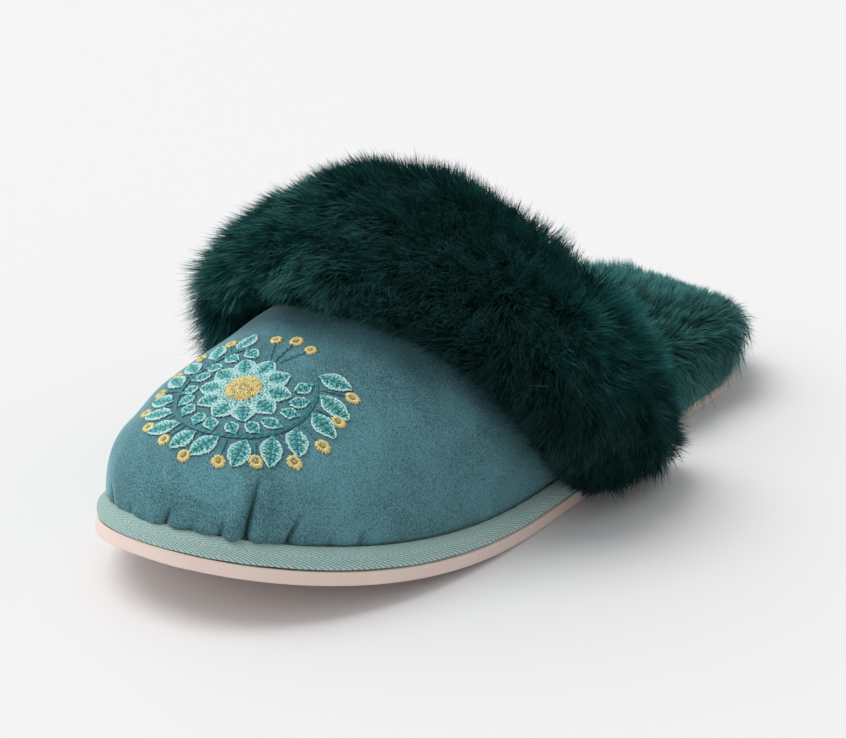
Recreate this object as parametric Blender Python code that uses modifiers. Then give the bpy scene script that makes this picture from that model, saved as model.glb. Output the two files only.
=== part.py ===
"""A house slipper for the left foot: an open-backed mule with a fur cuff.

The toe points to -Y and the heel to +Y. +X is the outer side of the foot, +Z is up, and the origin
is on the floor under the middle of the sole. Sizes are in metres.

Pieces, from the floor up: outsole, midsole with the binding tape round its edge, footbed, upper, cuff.
Places along the slipper are shares of the sole's length: 0 at the heel's back, 1 at the toe's tip.
"""

import math
import random

import bmesh
import bpy

# The sole's outline, seen from above
SOLE_LENGTH = 0.250
BALL_WIDTH = 0.092
WAIST_WIDTH = 0.081
HEEL_WIDTH = 0.073
HEEL_SHARE = 0.17
WAIST_SHARE = 0.42
BALL_SHARE = 0.70
HEEL_ROUND = 2.0
TOE_ROUND = 2.2
TOE_SWING = 0.0055
SWING_SHARE = 0.45

# The sole's side
OUTSOLE_THICKNESS = 0.0034
OUTSOLE_EDGE_ROUND = 0.0009
TOE_SPRING = 0.0150
SPRING_SHARE = 0.63
MIDSOLE_THICKNESS = 0.0046
SEAT_GAP = 0.0003

# The tape round the midsole
TAPE_THICKNESS = 0.0009
TAPE_LIP = 0.0028
TAPE_LEDGE = 0.0006

# The upper: a hollow vamp with no back
UPPER_WALL = 0.0030
INSTEP_HEIGHT = 0.0640
UPPER_BULGE = 0.0010
RIDGE_SWING = 0.0015
SECTION_ROUND = 2.10
COLLAR_TOP_SHARE = 0.640
COLLAR_BASE_SHARE = 0.480

# The cuff: a roll of fur that grips the collar's outside and stands up behind its edge
CUFF_FRONT_REACH = 0.0300
CUFF_BACK_REACH = 0.0250
CUFF_DEPTH = 0.0175
CUFF_INSIDE = 0.0060
CUFF_HANG = 0.0062
HANG_SHARE = 0.03
CUFF_LOCK = 0.0060
CUFF_GAP = 0.0006

# The footbed: a thin board faced with fur
BOARD_THICKNESS = 0.0030
HEEL_PILE = 0.0120
VAMP_PILE = 0.0035
FOOTBED_LOCK = 0.0035
FOOTBED_EDGE = 0.0030
FUR_OVERHANG = 0.0045

SEED = 7

# The vamp's rise. toe_share: distance from the toe's tip, as a share of the vamp's length there.
# height_share: height over the midsole, as a share of the instep's.
VAMP_RISE = (
    # toe_share, height_share
    (0.000, 0.000),
    (0.010, 0.120),
    (0.040, 0.225),
    (0.110, 0.345),
    (0.260, 0.495),
    (0.480, 0.675),
    (0.750, 0.865),
    (1.000, 1.000),
    (1.300, 1.110),
)

# The tape's section, from the outsole up and over the midsole's edge.
TAPE_SECTION = (
    # height_share, inset_share: shares of the midsole's thickness and of the tape's lip
    (0.00, 0.10),
    (0.30, 0.00),
    (0.62, 0.06),
    (0.88, 0.38),
    (1.00, 0.78),
    (1.02, 1.00),
)

# The cuff's section, outside the collar: along is forward (-) of the collar's edge or behind it (+),
# out is over the upper's outer face (+) or inside it (-).
CUFF_SECTION = (
    # along, reach, out, depth: a share of the named reach, and a share of the named depth
    (-1.00, "front", 0.10, "fur"),
    (-0.70, "front", 0.00, "fur"),
    (-0.35, "front", 0.00, "fur"),
    (0.00, "edge", 0.00, "fur"),
    (0.00, "edge", -1.00, "inside"),
    (0.40, "back", -1.25, "inside"),
    (0.75, "back", -0.90, "inside"),
    (0.97, "back", 0.08, "fur"),
    (1.00, "back", 0.34, "fur"),
    (0.88, "back", 0.62, "fur"),
    (0.62, "back", 0.84, "fur"),
    (0.22, "back", 0.97, "fur"),
    (-0.15, "front", 1.00, "fur"),
    (-0.42, "front", 0.93, "fur"),
    (-0.70, "front", 0.78, "fur"),
    (-0.95, "front", 0.58, "fur"),
    (-1.10, "front", 0.33, "fur"),
)
FURRY_SIDES = range(7, 16)
OVER_TAPE = 7
FACING_OUT = range(10, 14)

PLATFORM_TOP = OUTSOLE_THICKNESS + SEAT_GAP + MIDSOLE_THICKNESS
UPPER_INSET = TAPE_LIP + SEAT_GAP
UPPER_BASE = PLATFORM_TOP + SEAT_GAP + TAPE_THICKNESS / 2


def clear_scene():
    """Remove what the file opens with."""
    for item in list(bpy.data.objects):
        bpy.data.objects.remove(item)


def through_rows(rows, x):
    """A smooth curve through (x, y) rows that doesn't overshoot between them."""
    last = len(rows) - 2
    here = next((i for i in range(last) if x < rows[i + 1][0]), last)

    def slope(i):
        return (rows[i + 1][1] - rows[i][1]) / (rows[i + 1][0] - rows[i][0])

    def tangent(i):
        if i == 0:
            return slope(0)
        if i == len(rows) - 1:
            return slope(i - 1)
        before, after = slope(i - 1), slope(i)
        return 0.0 if before * after <= 0 else 2 * before * after / (before + after)

    span = rows[here + 1][0] - rows[here][0]
    t = (x - rows[here][0]) / span
    low, high = rows[here][1], rows[here + 1][1]
    if t > 1:
        return high + tangent(here + 1) * (t - 1) * span
    return (
        (2 * t**3 - 3 * t**2 + 1) * low
        + (t**3 - 2 * t**2 + t) * span * tangent(here)
        + (3 * t**2 - 2 * t**3) * high
        + (t**3 - t**2) * span * tangent(here + 1)
    )


def eased(value):
    """0 to 1 with no kink at either end."""
    value = min(max(value, 0.0), 1.0)
    return value * value * (3 - 2 * value)


def spring(along):
    """How far the toe is lifted off the floor."""
    share = min(max((along - SPRING_SHARE) / (1 - SPRING_SHARE), 0.0), 1.0)
    return TOE_SPRING * share**2


def half_width(along, inset):
    """Half of the sole's width, less an inset, closing to nothing at both ends."""
    rows = ((0.0, HEEL_WIDTH), (HEEL_SHARE, HEEL_WIDTH), (WAIST_SHARE, WAIST_WIDTH), (BALL_SHARE, BALL_WIDTH),
            (1.0, BALL_WIDTH))
    half = through_rows(rows, along) / 2 - inset
    if along < HEEL_SHARE:
        half *= max(1 - ((HEEL_SHARE - along) / HEEL_SHARE) ** HEEL_ROUND, 0.0) ** (1 / HEEL_ROUND)
    if along > BALL_SHARE:
        toe = (along - BALL_SHARE) / (1 - BALL_SHARE)
        half *= max(1 - toe**TOE_ROUND, 0.0) ** (1 / TOE_ROUND)
    return half


def centre_line(along):
    """The sole's middle swings to the inner side at the toe."""
    return -TOE_SWING * max((along - SWING_SHARE) / (1 - SWING_SHARE), 0.0) ** 1.5


def lengthwise(along, inset):
    """Y of a place along the sole, on an outline that lies inset from the sole's."""
    return (0.5 - along) * (SOLE_LENGTH - 2 * inset)


def crowded(step, steps):
    """Evenly stepped shares, moved so that they crowd towards heel and toe, where the outline turns."""
    return (1 - math.cos(math.pi * step / steps)) / 2


def rim_point(turn, inset, height):
    """A point on an outline: turn runs 0 to 1 from the heel by the outer side to the toe and back."""
    side = 1 if turn < 0.5 else -1
    along = crowded(turn if turn < 0.5 else 1 - turn, 0.5)
    x = centre_line(along) + side * half_width(along, inset)
    return x, lengthwise(along, inset), spring(along) + height


def upper_point(along, turn, depth):
    """A point of the upper. turn runs 0 to 1 from the outer feather edge over the instep to the inner
    one, and depth is how far it lies inside the outer face, so a point outside has a negative depth."""
    inset = UPPER_INSET + depth
    vamp = 1 - COLLAR_TOP_SHARE
    toe_share = max((1 - along) / vamp, 0.0)
    rows = [(math.sqrt(at), share) for at, share in VAMP_RISE]
    rise = through_rows(rows, math.sqrt(toe_share))
    height = max(rise, 0.0) * (INSTEP_HEIGHT - PLATFORM_TOP) - depth * min(1.0, rise / 0.3)
    half = half_width(along, inset)
    angle = math.pi * turn
    power = 2 / SECTION_ROUND
    across = math.copysign(abs(math.cos(angle)) ** power, math.cos(angle))
    up = abs(math.sin(angle)) ** power
    shoulder = math.sin(2 * angle) * min(1.0, max(half, 0.0) / (BALL_WIDTH / 4))
    x = centre_line(along) + half * across + UPPER_BULGE * shoulder - RIDGE_SWING * up**2
    return x, lengthwise(along, inset), spring(along) + UPPER_BASE + max(height, 0.0) * up


def collar_at(turn):
    """Where the collar's edge crosses the upper: low and far back at the sides, forward on the instep."""
    climb = math.sin(math.pi * min(max(turn, 0), 1)) ** 0.8
    return COLLAR_BASE_SHARE + (COLLAR_TOP_SHARE - COLLAR_BASE_SHARE) * climb


def new_object(name, shape, smooth=True):
    """Put a bmesh in the scene as an object."""
    mesh = bpy.data.meshes.new(name)
    shape.to_mesh(mesh)
    shape.free()
    made = bpy.data.objects.new(name, mesh)
    slipper.objects.link(made)
    if smooth:
        mesh.shade_smooth()
    return made


def grid(rows, columns, place, wrap=False):
    """A sheet of quads whose points are place(row, column). With wrap, the last column joins the first."""
    shape = bmesh.new()
    points = [[shape.verts.new(place(row, column)) for column in range(columns)] for row in range(rows)]
    for row in range(rows - 1):
        for column in range(columns if wrap else columns - 1):
            beside = (column + 1) % columns
            shape.faces.new((points[row][column], points[row + 1][column],
                             points[row + 1][beside], points[row][beside]))
    return shape, points


def weld(shape, distance=1e-5):
    """Join points that meet and drop faces that collapse."""
    bmesh.ops.remove_doubles(shape, verts=shape.verts, dist=distance)
    bmesh.ops.dissolve_degenerate(shape, edges=shape.edges, dist=distance / 10)


def face_outwards(shape):
    """Turn every face of a closed shape outwards."""
    bmesh.ops.recalc_face_normals(shape, faces=shape.faces)
    if shape.calc_volume(signed=True) < 0:
        bmesh.ops.reverse_faces(shape, faces=shape.faces)


def make_plate(name, stations, inset, bottom, thickness, edge_round):
    """A sheet that fills the outline at one inset, thickened upwards and rounded at its edge."""
    columns = 3

    def place(row, column):
        along = crowded(row, stations - 1)
        across = 1 - 2 * column / (columns - 1)
        x = centre_line(along) + across * half_width(along, inset)
        return x, lengthwise(along, inset), spring(along) + bottom

    shape, _ = grid(stations, columns, place)
    weld(shape)
    bmesh.ops.recalc_face_normals(shape, faces=shape.faces)
    if shape.faces[0].normal.z > 0:
        bmesh.ops.reverse_faces(shape, faces=shape.faces)
    plate = new_object(name, shape)
    solid = plate.modifiers.new("thickness", "SOLIDIFY")
    solid.thickness = thickness
    solid.offset = -1
    if edge_round:
        rounding = plate.modifiers.new("edge", "BEVEL")
        rounding.width = edge_round
        rounding.segments = 2
        rounding.limit_method = "ANGLE"
        rounding.angle_limit = math.radians(50)
    return plate


def make_outsole():
    """The moulded sole, flat from heel to ball."""
    return make_plate("outsole", 40, 0.0, 0.0, OUTSOLE_THICKNESS, OUTSOLE_EDGE_ROUND)


def make_midsole():
    """The foam board inside the tape."""
    inset = TAPE_LEDGE + TAPE_LIP + TAPE_THICKNESS + SEAT_GAP
    bottom = OUTSOLE_THICKNESS + SEAT_GAP
    return make_plate("midsole", 22, inset, bottom, MIDSOLE_THICKNESS, 0.0)


def make_binding():
    """The tape: a closed band that bulges round the midsole's edge and turns in over its top."""
    turns = 56
    bottom = OUTSOLE_THICKNESS + SEAT_GAP

    def place(row, column):
        height_share, inset_share = TAPE_SECTION[row]
        inset = TAPE_LEDGE + TAPE_LIP * inset_share
        return rim_point(column / turns, inset, bottom + MIDSOLE_THICKNESS * height_share)

    shape, _ = grid(len(TAPE_SECTION), turns, place, wrap=True)
    weld(shape)
    bmesh.ops.recalc_face_normals(shape, faces=shape.faces)
    widest = max(shape.faces, key=lambda face: face.calc_center_median().x)
    if widest.normal.x < 0:
        bmesh.ops.reverse_faces(shape, faces=shape.faces)
    tape = new_object("binding", shape)
    solid = tape.modifiers.new("thickness", "SOLIDIFY")
    solid.thickness = TAPE_THICKNESS
    solid.offset = -1
    return tape


def make_upper():
    """The vamp: one hollow wall, open at the back and underneath."""
    stations, turns = 17, 22

    def place(depth):
        def point(row, column):
            turn = column / turns
            start = collar_at(turn)
            along = start + (1 - start) * math.sin(math.pi / 2 * row / (stations - 1))
            return upper_point(along, turn, depth)
        return point

    shape = bmesh.new()
    walls = []
    for depth in (0.0, UPPER_WALL):
        point = place(depth)
        rows = [[shape.verts.new(point(row, column)) for column in range(turns + 1)]
                for row in range(stations)]
        for row in range(stations - 1):
            for column in range(turns):
                shape.faces.new((rows[row][column], rows[row + 1][column],
                                 rows[row + 1][column + 1], rows[row][column + 1]))
        walls.append(rows)
    outer, inner = walls
    for column in range(turns):
        shape.faces.new((outer[0][column], outer[0][column + 1], inner[0][column + 1], inner[0][column]))
    for column in (0, turns):
        for row in range(stations - 1):
            shape.faces.new((outer[row][column], inner[row][column],
                             inner[row + 1][column], outer[row + 1][column]))
    weld(shape)
    face_outwards(shape)
    return new_object("upper", shape)


def raise_locks(shape, faces, length, spread, chance):
    """Draw each face out into one tapered lock, leaning at random."""
    for face in faces:
        reach = length * chance.uniform(0.55, 1.0)
        lean = [chance.uniform(-spread, spread) for _ in range(3)]
        tip = face.calc_center_median() + reach * face.normal
        tip.x += reach * lean[0]
        tip.y += reach * lean[1]
        tip.z += reach * lean[2]
        poked = bmesh.ops.poke(shape, faces=[face])
        poked["verts"][0].co = tip


def cuff_point(side, turn):
    """A point on side number side of the cuff's section, at turn round the collar. Past either end of
    the collar the fur hangs down outside the tape."""
    along_share, reach_name, out_share, depth_name = CUFF_SECTION[side]
    base = min(max(turn, 0.0), 1.0)
    fullness = 0.80 + 0.20 * math.sin(math.pi * base)
    reach = {"front": CUFF_FRONT_REACH * fullness, "back": CUFF_BACK_REACH, "edge": 2 * CUFF_GAP}[reach_name]
    forward = along_share * reach if reach_name != "edge" else reach
    out = out_share * (CUFF_DEPTH if depth_name == "fur" else CUFF_INSIDE)
    if out >= 0:
        out += CUFF_GAP
    along = collar_at(base) - forward / SOLE_LENGTH
    x, y, z = upper_point(along, base, -out)
    hang = max(-turn, turn - 1, 0.0) / HANG_SHARE
    clear_of_tape = eased((out - UPPER_INSET) / (CUFF_DEPTH * 0.35))
    z += SEAT_GAP - CUFF_HANG * hang * clear_of_tape
    return x, y, z


def make_cuff(chance):
    """The fur roll, swept along the collar's edge, with a lock raised on each furry face."""
    steps = 40
    shape = bmesh.new()

    def turn_of(step):
        return -HANG_SHARE + (1 + 2 * HANG_SHARE) * step / steps

    sides = len(CUFF_SECTION)
    rings = [[shape.verts.new(cuff_point(side, turn_of(step))) for side in range(sides)]
             for step in range(steps + 1)]
    furry = []
    for step in range(steps):
        for side in range(sides):
            beside = (side + 1) % sides
            face = shape.faces.new((rings[step][side], rings[step + 1][side],
                                    rings[step + 1][beside], rings[step][beside]))
            near_tape = step in (1, steps - 2) and side not in FACING_OUT
            if side in FURRY_SIDES and 0 < step < steps - 1 and not near_tape:
                furry.append(face)
    for ring in (rings[0], rings[-1]):
        shape.faces.new(ring[:OVER_TAPE + 1])
        shape.faces.new(ring[OVER_TAPE:] + ring[:1])
    face_outwards(shape)
    raise_locks(shape, furry, CUFF_LOCK, 0.45, chance)
    weld(shape)
    face_outwards(shape)
    return new_object("cuff", shape)


def footbed_inset(along):
    """The footbed reaches the tape at the heel, draws in between the cuff's ends, and widens again
    inside the upper."""
    inside_cuff = UPPER_INSET + CUFF_INSIDE * 1.25 + 3 * SEAT_GAP
    inside_upper = UPPER_INSET + UPPER_WALL + 3 * SEAT_GAP
    back = COLLAR_BASE_SHARE - CUFF_BACK_REACH / SOLE_LENGTH
    drawn_in = FOOTBED_EDGE + (inside_cuff - FOOTBED_EDGE) * eased((along - back + 0.050) / 0.045)
    return drawn_in - (inside_cuff - inside_upper) * eased((along - COLLAR_BASE_SHARE - 0.02) / 0.05)


def pile_height(along):
    """Deep at the heel, and flattened under the vamp."""
    return BOARD_THICKNESS + VAMP_PILE + (HEEL_PILE - VAMP_PILE) * (1 - eased((along - 0.30) / 0.25))


def make_footbed(chance):
    """The footbed: a flat underside, and a furry top drawn out into locks."""
    stations, columns = 30, 9
    bottom = PLATFORM_TOP + SEAT_GAP + TAPE_THICKNESS

    def along_of(row):
        return 0.002 + 0.970 * crowded(row, stations - 1)

    def place(level):
        def point(row, column):
            along = along_of(row)
            inset = footbed_inset(along) - level * FUR_OVERHANG * (1 - eased((along - 0.20) / 0.14))
            across = math.sin(math.pi / 2 * (1 - 2 * column / (columns - 1)))
            x = centre_line(along) + across * half_width(along, inset)
            crown = level * pile_height(along) * (1 - 0.25 * across**2)
            edge = eased(along / 0.06) * eased((1 - along) / 0.10)
            return x, lengthwise(along, inset), spring(along) + bottom + crown * (0.45 + 0.55 * edge)
        return point

    shape = bmesh.new()
    levels = []
    furry = []
    for level in (1, 0):
        point = place(level)
        rows = [[shape.verts.new(point(row, column)) for column in range(columns)]
                for row in range(stations)]
        for row in range(stations - 1):
            for column in range(columns - 1):
                face = shape.faces.new((rows[row][column], rows[row + 1][column],
                                        rows[row + 1][column + 1], rows[row][column + 1]))
                beside_wall = column in (0, columns - 2) and along_of(row) > 0.30
                if level and not beside_wall:
                    furry.append(face)
        levels.append(rows)
    top, under = levels
    for row in range(stations - 1):
        for column in (0, columns - 1):
            shape.faces.new((top[row][column], under[row][column],
                             under[row + 1][column], top[row + 1][column]))
    for column in range(columns - 1):
        for row in (0, stations - 1):
            shape.faces.new((top[row][column], top[row][column + 1],
                             under[row][column + 1], under[row][column]))
    face_outwards(shape)
    raise_locks(shape, furry, FOOTBED_LOCK, 0.35, chance)
    weld(shape)
    face_outwards(shape)
    return new_object("footbed", shape)


def finish(item, colour, roughness, sheen=0.0):
    """Give a piece its own material."""
    material = bpy.data.materials.new(item.name)
    material.use_nodes = True
    surface = material.node_tree.nodes["Principled BSDF"]
    surface.inputs["Base Color"].default_value = (*colour, 1.0)
    surface.inputs["Roughness"].default_value = roughness
    surface.inputs["Metallic"].default_value = 0.0
    surface.inputs["Sheen Weight"].default_value = sheen
    item.data.materials.append(material)


clear_scene()
slipper = bpy.data.collections.new("house slipper")
bpy.context.scene.collection.children.link(slipper)
dice = random.Random(SEED)

finish(make_outsole(), (0.74, 0.61, 0.54), 0.45)
finish(make_midsole(), (0.55, 0.60, 0.57), 0.90)
finish(make_binding(), (0.20, 0.34, 0.32), 0.85, 0.3)
finish(make_footbed(dice), (0.010, 0.045, 0.043), 0.95, 0.6)
finish(make_upper(), (0.060, 0.150, 0.172), 0.90, 0.8)
finish(make_cuff(dice), (0.008, 0.038, 0.036), 0.95, 0.6)
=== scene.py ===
"""Dresses the house slipper: velvet vamp, thread work, taped sole, fur cuff and fur footbed.

It is laid out as a Blender add-on and is run as a script. All sizes are in metres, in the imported
model's frame: the toe points to -Y, +X is the outer side of the left foot, and the floor is at z = 0.
"""

import math

import bpy
import numpy as np
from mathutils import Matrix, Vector
from mathutils.bvhtree import BVHTree
from mathutils.geometry import convex_hull_2d
from mathutils.kdtree import KDTree


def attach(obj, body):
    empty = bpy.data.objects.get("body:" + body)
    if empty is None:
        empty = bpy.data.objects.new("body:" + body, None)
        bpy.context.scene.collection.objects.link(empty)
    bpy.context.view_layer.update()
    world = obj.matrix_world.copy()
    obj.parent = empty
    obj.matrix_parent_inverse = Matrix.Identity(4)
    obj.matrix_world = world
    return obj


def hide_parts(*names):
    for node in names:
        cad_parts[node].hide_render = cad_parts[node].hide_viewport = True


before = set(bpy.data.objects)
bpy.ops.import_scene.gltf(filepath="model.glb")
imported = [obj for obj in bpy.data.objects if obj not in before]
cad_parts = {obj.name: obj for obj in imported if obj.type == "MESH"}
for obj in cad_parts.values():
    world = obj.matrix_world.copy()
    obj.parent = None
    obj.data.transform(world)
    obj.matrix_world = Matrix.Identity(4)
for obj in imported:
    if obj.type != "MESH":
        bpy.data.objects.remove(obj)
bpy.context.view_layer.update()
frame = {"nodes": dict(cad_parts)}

bl_info = {
    "name": "House slipper",
    "version": (1, 0, 0),
    "blender": (4, 5, 0),
    "location": "3D View > Sidebar > Slipper",
    "description": "Velvet, thread work, woven tape and fur for a house slipper",
    "category": "Object",
}


class SlipperSizes(bpy.types.PropertyGroup):
    """Sizes that a maker would change."""

    cuff_hair: bpy.props.FloatProperty(
        name="Cuff hair", description="Length of a hair on the cuff", default=0.0098, unit="LENGTH")
    cuff_hairs: bpy.props.IntProperty(
        name="Cuff hairs", description="Hairs in each of the cuff's three coats", default=57500)
    heel_hair: bpy.props.FloatProperty(
        name="Heel hair", description="Length of a hair at the footbed's heel", default=0.0100,
        unit="LENGTH")
    heel_hairs: bpy.props.IntProperty(
        name="Footbed hairs", description="Hairs on the footbed", default=54000)
    hair_width: bpy.props.FloatProperty(
        name="Hair width", description="Width of a hair at its root", default=0.00021, unit="LENGTH")
    thread: bpy.props.FloatProperty(
        name="Thread", description="Width of a sewing thread", default=0.00046, unit="LENGTH")
    rib: bpy.props.FloatProperty(
        name="Tape rib", description="Spacing of the tape's ribs along its length", default=0.0015,
        unit="LENGTH")


class SlipperColours(bpy.types.PropertyGroup):
    """Colours that a maker would change."""

    velvet: bpy.props.FloatVectorProperty(
        name="Velvet", description="Pile of the vamp", subtype="COLOR", default=(0.080, 0.196, 0.224))
    fur: bpy.props.FloatVectorProperty(
        name="Fur", description="Middle of a hair", subtype="COLOR", default=(0.0075, 0.046, 0.044))
    # The tips' paler colour is painted sheen
    fur_tip_sheen: bpy.props.FloatVectorProperty(
        name="Fur tip", description="Tip of a hair", subtype="COLOR", default=(0.044, 0.202, 0.190))
    # The roots' dark colour is painted shade; the fur's backing has it too
    fur_root_shade: bpy.props.FloatVectorProperty(
        name="Fur root", description="Root of a hair", subtype="COLOR", default=(0.0015, 0.010, 0.010))
    tape: bpy.props.FloatVectorProperty(
        name="Tape", description="Ground of the woven tape", subtype="COLOR", default=(0.430, 0.650, 0.615))
    gold: bpy.props.FloatVectorProperty(
        name="Gold", description="Gold thread", subtype="COLOR", default=(0.800, 0.660, 0.270))
    sole: bpy.props.FloatVectorProperty(
        name="Sole", description="Moulded outsole", subtype="COLOR", default=(0.800, 0.640, 0.575))
    pale: bpy.props.FloatVectorProperty(
        name="Pale thread", description="Palest thread", subtype="COLOR", default=(0.560, 0.830, 0.790))
    aqua: bpy.props.FloatVectorProperty(
        name="Aqua thread", description="Middle thread", subtype="COLOR", default=(0.110, 0.530, 0.520))
    teal: bpy.props.FloatVectorProperty(
        name="Teal thread", description="Darkest thread", subtype="COLOR", default=(0.020, 0.200, 0.230))


# Puckers where the velvet is drawn in at the toe's seam. turn is the angle about the toe's centre,
# positive to the outer side; lean is how that angle grows with height.
PUCKERS = (
    # turn_degrees, lean_degrees_per_mm, rise, width, depth
    (5.0, 0.6, 0.0040, 0.00070, 0.0009),
    (14.0, 0.3, 0.0026, 0.00060, 0.0004),
    (23.0, 0.5, 0.0034, 0.00070, 0.0008),
    (31.0, 0.37, 0.0145, 0.00070, 0.0023),
    (37.5, 0.4, 0.0024, 0.00060, 0.0004),
    (44.5, 0.9, 0.0070, 0.00070, 0.0012),
    (60.0, 0.6, 0.0028, 0.00090, 0.0004),
    (72.0, 0.5, 0.0040, 0.00100, 0.0005),
    (-9.0, -0.3, 0.0026, 0.00070, 0.0003),
    (-21.0, -0.4, 0.0046, 0.00080, 0.0006),
    (-38.0, -0.3, 0.0030, 0.00070, 0.0003),
    (-58.0, -0.6, 0.0050, 0.00080, 0.0005),
)
TOE_CENTRE = (-0.0035, -0.0800)

# The swelling beside a pucker, as a share of its depth, how far off it is and how wide. A crease's
# painted shade is darkest from a depth of DARKEST on.
PUFF, PUFF_OFF, PUFF_WIDTH = 0.45, 0.0030, 0.0019
DARKEST = 0.0009

# The velvet's hem is tucked out and down at the seam, which fades upwards, and has painted shade there
TUCK_OUT, TUCK_DOWN, TUCK_FADE = 0.0005, -0.0014, 0.0016
HEM_SHADE, HEM_FADE = 0.75, 0.0007

# How the vamp's seam is found: in steps of degrees about the toe's centre, and in rows from toe to heel
SEAM_REACH, SEAM_STEP, SEAM_BINS = 110, 2, 111
FIRST_ROW, ROW, ROWS = -0.13, 0.004, 50

# How high the line inside the vamp is that its outer face looks away from
VAMP_HEART = 0.012

# Where the toe's faces are made smaller: ahead of a place, and under a height that is raised for the
# tallest pucker, in degrees of turn and of reach to both sides
FINE_AHEAD, FINE_UNDER = -0.088, 0.029
TALLEST_TURN, TALLEST_REACH, TALLEST_UNDER = 36, 12, 0.040

# The velvet's slack waves
SLACK = (
    # depth, wavelength, seed
    (0.00045, 0.045, 3),
    (0.00022, 0.018, 5),
)

# Where the tape's herringbone turns, up from its lower edge, and how long its stitches are
TAPE_SPINE, TAPE_STITCH = 0.0036, 0.00056
TAPE_BINS = 120

# The tape's lower lip laps over the sole: how fast that fades upwards, how far it goes down and out, and
# how far in from the tape's side it still goes out
LIP_FADE, LIP_DOWN, LIP_OUT, LIP_SIDE = 0.0006, 0.00044, 0.0003, 0.0015
FLECK = (0.86, 0.74, 0.50)
TREAD_RIB = 0.0056

# The thread work's place: its middle on the vamp, and how far its plane leans forward
SPRIG_AT = (-0.0010, -0.0920, 0.0460)
SPRIG_TILT = math.radians(25)

# The thread work, in millimetres from the sprig's middle: right, then towards the heel
PETALS = 10
PETAL_ROOT, PETAL_TIP, PETAL_WIDTH = 4.4, 11.2, 5.6
SEPAL_ROOT, SEPAL_TIP, SEPAL_WIDTH = 3.0, 7.4, 3.4
HEART = 4.3
WREATH = 16.6
WREATH_LEAVES = 15
OUTER_LEAF, OUTER_WIDTH = 7.4, 4.5
INNER_LEAF, INNER_WIDTH = 4.6, 3.2
BERRY = 1.75
BERRIES_OUT = 23.6
SPRAY_BERRIES = (
    # right, back, radius
    (0.0, 20.6, 2.0),
    (-5.2, 19.2, 1.7),
    (5.2, 19.2, 1.7),
)
STITCH = 0.42
GOLDEN_TURN = 2.399963

# A thread is cast from ABOVE its plane, BELOW at most, and lies just CLEAR of the vamp
ABOVE, BELOW, CLEAR = 0.02, 0.08, 0.00005

# A thread's five places from end to end: how wide it is at each
THREAD_TAPER = np.array([0.55, 0.95, 1.0, 0.95, 0.55])

# The cuff's coats, from the skin out: how long the hairs are and how pale at root, middle and tip, as
# shares of the named sizes and colours. The dark roots are painted shade and the pale tips painted sheen.
CUFF_COATS = (
    # name, length, root, middle, tip
    ("cuff_undercoat", 0.80, 0.35, 0.5, 0.6),
    ("cuff_coat", 1.00, 0.5, 1.0, 1.1),
    ("cuff_guard_hairs", 1.10, 0.6, 1.25, 1.8),
)

# How pale the footbed's hairs are at root, middle and tip: paler than the cuff's, as painted light
FOOTBED_TONES = (0.8, 1.25, 1.6)

# The darkest and the palest that a single hair is
SHADES = (0.03, 0.97)

# The lowest that a hair reaches, how far tips scatter, and how near a surface a hair is lifted off it
LOWEST_HAIR, TIP_SCATTER, LIFT_REACH = 0.0006, 0.00035, 0.006

# How fur gathers: the share of its hairs that lead a tuft, and how far the others lean to their own
LEADERS, PULL = 0.045, 0.26

# Where a hair's three points are along it, and how wide it is at the first two
STEPS = np.array([0.0, 0.5, 1.0])
TAPER = np.array([1.0, 0.85])

# A flat hair is shaded as a round one: its edges' normals turn aside by ROUND, and all of them turn by
# OUTWARD towards the way that the fur faces.
ROUND, OUTWARD = 0.9, 0.35

# The studio: the camera is the photo's, fitted to the outline of the sole
CAMERA_AT = (0.25307, -0.37565, 0.18248)
CAMERA_AIM = (-0.0217, 0.0088, 0.0191)
CAMERA_LENS = 73.0
SKY_COLOUR = (0.985, 0.99, 1.0, 1.0)
SKY_STRENGTH = 0.58
LIGHTS = (
    # name, way to it, strength, angle_degrees, colour
    ("key_light", (-0.38, -0.22, 1.00), 1.45, 40, (1.0, 0.985, 0.965)),
    ("left_light", (-0.92, -0.30, 0.50), 0.98, 115, (0.98, 0.99, 1.0)),
)
FLOOR_SIZE = 24.0
FLOOR_SHADES = ((0.790, 0.790, 0.796), (0.802, 0.802, 0.808))


# Materials


def maths(operation, turned=False):
    """An operator for Term, as a Math node. It is turned for a number that stands before the Term."""
    def operator(self, other):
        return self.calc(operation, *((other, self) if turned else (self, other)))
    return operator


class Term:
    """A value in a material. Arithmetic on it adds Math nodes."""

    def __init__(self, tree, socket):
        self.tree, self.socket = tree, socket

    def calc(self, operation, *values, clamp=False):
        """A Math node of these values, where numbers stay numbers."""
        node = self.tree.nodes.new("ShaderNodeMath")
        node.operation, node.use_clamp = operation, clamp
        for socket, value in zip(node.inputs, values):
            plug(self.tree, socket, value)
        return Term(self.tree, node.outputs[0])

    __add__, __radd__ = maths("ADD"), maths("ADD", turned=True)
    __sub__, __rsub__ = maths("SUBTRACT"), maths("SUBTRACT", turned=True)
    __mul__, __rmul__ = maths("MULTIPLY"), maths("MULTIPLY", turned=True)
    __truediv__, __rtruediv__ = maths("DIVIDE"), maths("DIVIDE", turned=True)
    __gt__ = maths("GREATER_THAN")

    def __neg__(self):
        return self.calc("MULTIPLY", self, -1.0)

    def __abs__(self):
        return self.calc("ABSOLUTE", self)

    def share(self):
        """What is left over whole numbers, from 0 to 1."""
        return self.calc("FRACT", self)

    def held(self):
        """The value, kept from 0 to 1."""
        return self.calc("ADD", self, 0.0, clamp=True)


def plug(tree, socket, value):
    """Set a socket to a number, or link it to a Term."""
    if isinstance(value, Term):
        tree.links.new(value.socket, socket)
    elif isinstance(value, (tuple, list)) and len(value) == 3 and len(socket.default_value) == 4:
        socket.default_value = (*value, 1.0)
    else:
        socket.default_value = value


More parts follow.
